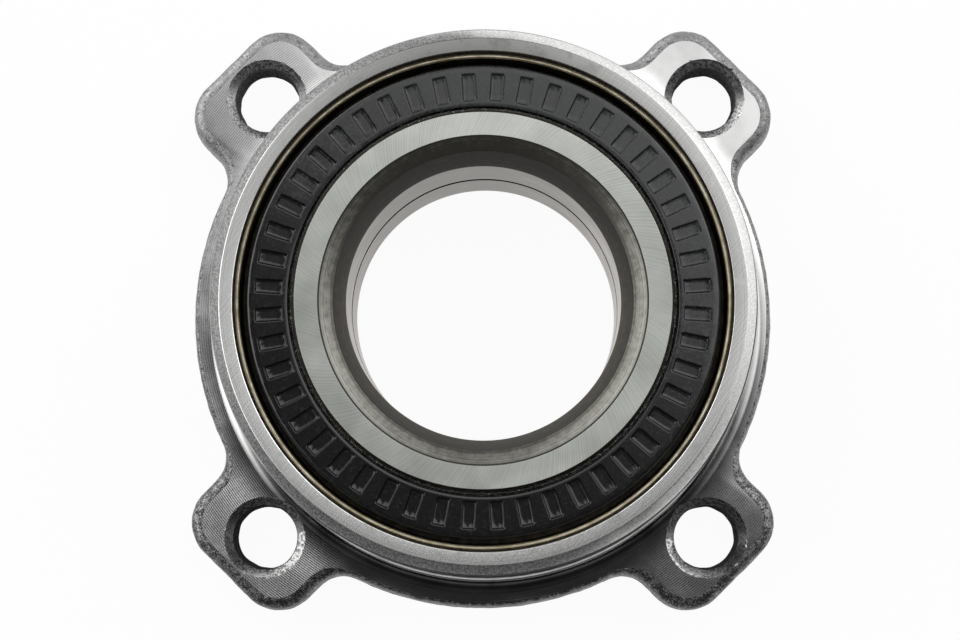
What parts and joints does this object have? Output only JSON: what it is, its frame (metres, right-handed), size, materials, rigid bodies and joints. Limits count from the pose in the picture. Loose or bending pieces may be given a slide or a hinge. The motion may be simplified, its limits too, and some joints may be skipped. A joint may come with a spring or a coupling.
{
  "type": "wheel hub bearing unit",
  "caption": "Bolt-on wheel hub bearing: forged four-eared outer ring, split inner rings with a large bore, two angular contact ball rows, cassette seals and a pocketed encoder ring.",
  "frame": {"origin": "on the bearing axis, in the plane of the ears' machined face that bolts to the knuckle", "axes": "+Z along the bearing axis towards the inboard side with the encoder; the ears lie on the diagonals of X and Y"},
  "size_m": [0.1108, 0.1108, 0.0525],
  "materials": {
    "forged_steel": "forged, with turned and ground faces",
    "ground_steel": "ground bearing steel",
    "ball_steel": "polished bearing steel",
    "sheet_steel": "cold-rolled sheet",
    "plated_sheet": "pressed sheet with a tan oiled finish",
    "encoder_rubber": "smooth moulded, lightly oiled",
    "seal_rubber": "moulded",
    "cage_polymer": "moulded glass-filled polymer"
  },
  "bodies": {
    "outer": {"flanged_outer_ring": "forged_steel", "inboard_seal_case": "plated_sheet", "inboard_seal_lips": "seal_rubber", "outboard_seal_case": "plated_sheet", "outboard_seal_lips": "seal_rubber"},
    "inner": {"inboard_inner_ring": "ground_steel", "outboard_inner_ring": "ground_steel", "inner_ring_clip": "sheet_steel", "inboard_slinger": "sheet_steel", "outboard_slinger": "sheet_steel", "encoder_ring": "encoder_rubber"},
    "inboard_cage": {"inboard_cage": "cage_polymer"},
    "outboard_cage": {"outboard_cage": "cage_polymer"},
    "inboard_ball_01": {"inboard_ball_01": "ball_steel"},
    "inboard_ball_02": {"inboard_ball_02": "ball_steel"},
    "inboard_ball_03": {"inboard_ball_03": "ball_steel"},
    "inboard_ball_04": {"inboard_ball_04": "ball_steel"},
    "inboard_ball_05": {"inboard_ball_05": "ball_steel"},
    "inboard_ball_06": {"inboard_ball_06": "ball_steel"},
    "inboard_ball_07": {"inboard_ball_07": "ball_steel"},
    "inboard_ball_08": {"inboard_ball_08": "ball_steel"},
    "inboard_ball_09": {"inboard_ball_09": "ball_steel"},
    "inboard_ball_10": {"inboard_ball_10": "ball_steel"},
    "inboard_ball_11": {"inboard_ball_11": "ball_steel"},
    "inboard_ball_12": {"inboard_ball_12": "ball_steel"},
    "inboard_ball_13": {"inboard_ball_13": "ball_steel"},
    "inboard_ball_14": {"inboard_ball_14": "ball_steel"},
    "inboard_ball_15": {"inboard_ball_15": "ball_steel"},
    "inboard_ball_16": {"inboard_ball_16": "ball_steel"},
    "outboard_ball_01": {"outboard_ball_01": "ball_steel"},
    "outboard_ball_02": {"outboard_ball_02": "ball_steel"},
    "outboard_ball_03": {"outboard_ball_03": "ball_steel"},
    "outboard_ball_04": {"outboard_ball_04": "ball_steel"},
    "outboard_ball_05": {"outboard_ball_05": "ball_steel"},
    "outboard_ball_06": {"outboard_ball_06": "ball_steel"},
    "outboard_ball_07": {"outboard_ball_07": "ball_steel"},
    "outboard_ball_08": {"outboard_ball_08": "ball_steel"},
    "outboard_ball_09": {"outboard_ball_09": "ball_steel"},
    "outboard_ball_10": {"outboard_ball_10": "ball_steel"},
    "outboard_ball_11": {"outboard_ball_11": "ball_steel"},
    "outboard_ball_12": {"outboard_ball_12": "ball_steel"},
    "outboard_ball_13": {"outboard_ball_13": "ball_steel"},
    "outboard_ball_14": {"outboard_ball_14": "ball_steel"},
    "outboard_ball_15": {"outboard_ball_15": "ball_steel"},
    "outboard_ball_16": {"outboard_ball_16": "ball_steel"}
  },
  "joints": [
    {"name": "inner_spin", "type": "hinge", "parent": "outer", "child": "inner", "pos_m": [0, 0, 0.014], "axis": [0, 0, 1], "continuous": true},
    {"name": "inboard_cage_spin", "type": "hinge", "parent": "outer", "child": "inboard_cage", "pos_m": [0, 0, 0.0235], "axis": [0, 0, 1], "continuous": true},
    {"name": "outboard_cage_spin", "type": "hinge", "parent": "outer", "child": "outboard_cage", "pos_m": [0, 0, 0.0045], "axis": [0, 0, 1], "continuous": true},
    {"name": "inboard_ball_01_roll", "type": "hinge", "parent": "inboard_cage", "child": "inboard_ball_01", "pos_m": [0.0379, 0, 0.0235], "axis": [0.6157, 0, 0.788], "continuous": true},
    {"name": "inboard_ball_02_roll", "type": "hinge", "parent": "inboard_cage", "child": "inboard_ball_02", "pos_m": [0.03502, 0.0145, 0.0235], "axis": [0.5688, 0.2356, 0.788], "continuous": true},
    {"name": "inboard_ball_03_roll", "type": "hinge", "parent": "inboard_cage", "child": "inboard_ball_03", "pos_m": [0.0268, 0.0268, 0.0235], "axis": [0.4353, 0.4353, 0.788], "continuous": true},
    {"name": "inboard_ball_04_roll", "type": "hinge", "parent": "inboard_cage", "child": "inboard_ball_04", "pos_m": [0.0145, 0.03502, 0.0235], "axis": [0.2356, 0.5688, 0.788], "continuous": true},
    {"name": "inboard_ball_05_roll", "type": "hinge", "parent": "inboard_cage", "child": "inboard_ball_05", "pos_m": [0, 0.0379, 0.0235], "axis": [0, 0.6157, 0.788], "continuous": true},
    {"name": "inboard_ball_06_roll", "type": "hinge", "parent": "inboard_cage", "child": "inboard_ball_06", "pos_m": [-0.0145, 0.03502, 0.0235], "axis": [-0.2356, 0.5688, 0.788], "continuous": true},
    {"name": "inboard_ball_07_roll", "type": "hinge", "parent": "inboard_cage", "child": "inboard_ball_07", "pos_m": [-0.0268, 0.0268, 0.0235], "axis": [-0.4353, 0.4353, 0.788], "continuous": true},
    {"name": "inboard_ball_08_roll", "type": "hinge", "parent": "inboard_cage", "child": "inboard_ball_08", "pos_m": [-0.03502, 0.0145, 0.0235], "axis": [-0.5688, 0.2356, 0.788], "continuous": true},
    {"name": "inboard_ball_09_roll", "type": "hinge", "parent": "inboard_cage", "child": "inboard_ball_09", "pos_m": [-0.0379, 0, 0.0235], "axis": [-0.6157, 0, 0.788], "continuous": true},
    {"name": "inboard_ball_10_roll", "type": "hinge", "parent": "inboard_cage", "child": "inboard_ball_10", "pos_m": [-0.03502, -0.0145, 0.0235], "axis": [-0.5688, -0.2356, 0.788], "continuous": true},
    {"name": "inboard_ball_11_roll", "type": "hinge", "parent": "inboard_cage", "child": "inboard_ball_11", "pos_m": [-0.0268, -0.0268, 0.0235], "axis": [-0.4353, -0.4353, 0.788], "continuous": true},
    {"name": "inboard_ball_12_roll", "type": "hinge", "parent": "inboard_cage", "child": "inboard_ball_12", "pos_m": [-0.0145, -0.03502, 0.0235], "axis": [-0.2356, -0.5688, 0.788], "continuous": true},
    {"name": "inboard_ball_13_roll", "type": "hinge", "parent": "inboard_cage", "child": "inboard_ball_13", "pos_m": [0, -0.0379, 0.0235], "axis": [0, -0.6157, 0.788], "continuous": true},
    {"name": "inboard_ball_14_roll", "type": "hinge", "parent": "inboard_cage", "child": "inboard_ball_14", "pos_m": [0.0145, -0.03502, 0.0235], "axis": [0.2356, -0.5688, 0.788], "continuous": true},
    {"name": "inboard_ball_15_roll", "type": "hinge", "parent": "inboard_cage", "child": "inboard_ball_15", "pos_m": [0.0268, -0.0268, 0.0235], "axis": [0.4353, -0.4353, 0.788], "continuous": true},
    {"name": "inboard_ball_16_roll", "type": "hinge", "parent": "inboard_cage", "child": "inboard_ball_16", "pos_m": [0.03502, -0.0145, 0.0235], "axis": [0.5688, -0.2356, 0.788], "continuous": true},
    {"name": "outboard_ball_01_roll", "type": "hinge", "parent": "outboard_cage", "child": "outboard_ball_01", "pos_m": [0.0379, 0, 0.0045], "axis": [-0.6157, 0, 0.788], "continuous": true},
    {"name": "outboard_ball_02_roll", "type": "hinge", "parent": "outboard_cage", "child": "outboard_ball_02", "pos_m": [0.03502, 0.0145, 0.0045], "axis": [-0.5688, -0.2356, 0.788], "continuous": true},
    {"name": "outboard_ball_03_roll", "type": "hinge", "parent": "outboard_cage", "child": "outboard_ball_03", "pos_m": [0.0268, 0.0268, 0.0045], "axis": [-0.4353, -0.4353, 0.788], "continuous": true},
    {"name": "outboard_ball_04_roll", "type": "hinge", "parent": "outboard_cage", "child": "outboard_ball_04", "pos_m": [0.0145, 0.03502, 0.0045], "axis": [-0.2356, -0.5688, 0.788], "continuous": true},
    {"name": "outboard_ball_05_roll", "type": "hinge", "parent": "outboard_cage", "child": "outboard_ball_05", "pos_m": [0, 0.0379, 0.0045], "axis": [0, -0.6157, 0.788], "continuous": true},
    {"name": "outboard_ball_06_roll", "type": "hinge", "parent": "outboard_cage", "child": "outboard_ball_06", "pos_m": [-0.0145, 0.03502, 0.0045], "axis": [0.2356, -0.5688, 0.788], "continuous": true},
    {"name": "outboard_ball_07_roll", "type": "hinge", "parent": "outboard_cage", "child": "outboard_ball_07", "pos_m": [-0.0268, 0.0268, 0.0045], "axis": [0.4353, -0.4353, 0.788], "continuous": true},
    {"name": "outboard_ball_08_roll", "type": "hinge", "parent": "outboard_cage", "child": "outboard_ball_08", "pos_m": [-0.03502, 0.0145, 0.0045], "axis": [0.5688, -0.2356, 0.788], "continuous": true},
    {"name": "outboard_ball_09_roll", "type": "hinge", "parent": "outboard_cage", "child": "outboard_ball_09", "pos_m": [-0.0379, 0, 0.0045], "axis": [0.6157, 0, 0.788], "continuous": true},
    {"name": "outboard_ball_10_roll", "type": "hinge", "parent": "outboard_cage", "child": "outboard_ball_10", "pos_m": [-0.03502, -0.0145, 0.0045], "axis": [0.5688, 0.2356, 0.788], "continuous": true},
    {"name": "outboard_ball_11_roll", "type": "hinge", "parent": "outboard_cage", "child": "outboard_ball_11", "pos_m": [-0.0268, -0.0268, 0.0045], "axis": [0.4353, 0.4353, 0.788], "continuous": true},
    {"name": "outboard_ball_12_roll", "type": "hinge", "parent": "outboard_cage", "child": "outboard_ball_12", "pos_m": [-0.0145, -0.03502, 0.0045], "axis": [0.2356, 0.5688, 0.788], "continuous": true},
    {"name": "outboard_ball_13_roll", "type": "hinge", "parent": "outboard_cage", "child": "outboard_ball_13", "pos_m": [0, -0.0379, 0.0045], "axis": [0, 0.6157, 0.788], "continuous": true},
    {"name": "outboard_ball_14_roll", "type": "hinge", "parent": "outboard_cage", "child": "outboard_ball_14", "pos_m": [0.0145, -0.03502, 0.0045], "axis": [-0.2356, 0.5688, 0.788], "continuous": true},
    {"name": "outboard_ball_15_roll", "type": "hinge", "parent": "outboard_cage", "child": "outboard_ball_15", "pos_m": [0.0268, -0.0268, 0.0045], "axis": [-0.4353, 0.4353, 0.788], "continuous": true},
    {"name": "outboard_ball_16_roll", "type": "hinge", "parent": "outboard_cage", "child": "outboard_ball_16", "pos_m": [0.03502, -0.0145, 0.0045], "axis": [-0.5688, 0.2356, 0.788], "continuous": true}
  ],
  "couplings": [
    {"joint": "inboard_cage_spin", "follows": "inner_spin", "ratio": 0.43814},
    {"joint": "outboard_cage_spin", "follows": "inner_spin", "ratio": 0.43814},
    {"joint": "inboard_ball_01_roll", "follows": "inner_spin", "ratio": -3.1361},
    {"joint": "inboard_ball_02_roll", "follows": "inner_spin", "ratio": -3.1361},
    {"joint": "inboard_ball_03_roll", "follows": "inner_spin", "ratio": -3.1361},
    {"joint": "inboard_ball_04_roll", "follows": "inner_spin", "ratio": -3.1361},
    {"joint": "inboard_ball_05_roll", "follows": "inner_spin", "ratio": -3.1361},
    {"joint": "inboard_ball_06_roll", "follows": "inner_spin", "ratio": -3.1361},
    {"joint": "inboard_ball_07_roll", "follows": "inner_spin", "ratio": -3.1361},
    {"joint": "inboard_ball_08_roll", "follows": "inner_spin", "ratio": -3.1361},
    {"joint": "inboard_ball_09_roll", "follows": "inner_spin", "ratio": -3.1361},
    {"joint": "inboard_ball_10_roll", "follows": "inner_spin", "ratio": -3.1361},
    {"joint": "inboard_ball_11_roll", "follows": "inner_spin", "ratio": -3.1361},
    {"joint": "inboard_ball_12_roll", "follows": "inner_spin", "ratio": -3.1361},
    {"joint": "inboard_ball_13_roll", "follows": "inner_spin", "ratio": -3.1361},
    {"joint": "inboard_ball_14_roll", "follows": "inner_spin", "ratio": -3.1361},
    {"joint": "inboard_ball_15_roll", "follows": "inner_spin", "ratio": -3.1361},
    {"joint": "inboard_ball_16_roll", "follows": "inner_spin", "ratio": -3.1361},
    {"joint": "outboard_ball_01_roll", "follows": "inner_spin", "ratio": -3.1361},
    {"joint": "outboard_ball_02_roll", "follows": "inner_spin", "ratio": -3.1361},
    {"joint": "outboard_ball_03_roll", "follows": "inner_spin", "ratio": -3.1361},
    {"joint": "outboard_ball_04_roll", "follows": "inner_spin", "ratio": -3.1361},
    {"joint": "outboard_ball_05_roll", "follows": "inner_spin", "ratio": -3.1361},
    {"joint": "outboard_ball_06_roll", "follows": "inner_spin", "ratio": -3.1361},
    {"joint": "outboard_ball_07_roll", "follows": "inner_spin", "ratio": -3.1361},
    {"joint": "outboard_ball_08_roll", "follows": "inner_spin", "ratio": -3.1361},
    {"joint": "outboard_ball_09_roll", "follows": "inner_spin", "ratio": -3.1361},
    {"joint": "outboard_ball_10_roll", "follows": "inner_spin", "ratio": -3.1361},
    {"joint": "outboard_ball_11_roll", "follows": "inner_spin", "ratio": -3.1361},
    {"joint": "outboard_ball_12_roll", "follows": "inner_spin", "ratio": -3.1361},
    {"joint": "outboard_ball_13_roll", "follows": "inner_spin", "ratio": -3.1361},
    {"joint": "outboard_ball_14_roll", "follows": "inner_spin", "ratio": -3.1361},
    {"joint": "outboard_ball_15_roll", "follows": "inner_spin", "ratio": -3.1361},
    {"joint": "outboard_ball_16_roll", "follows": "inner_spin", "ratio": -3.1361}
  ]
}
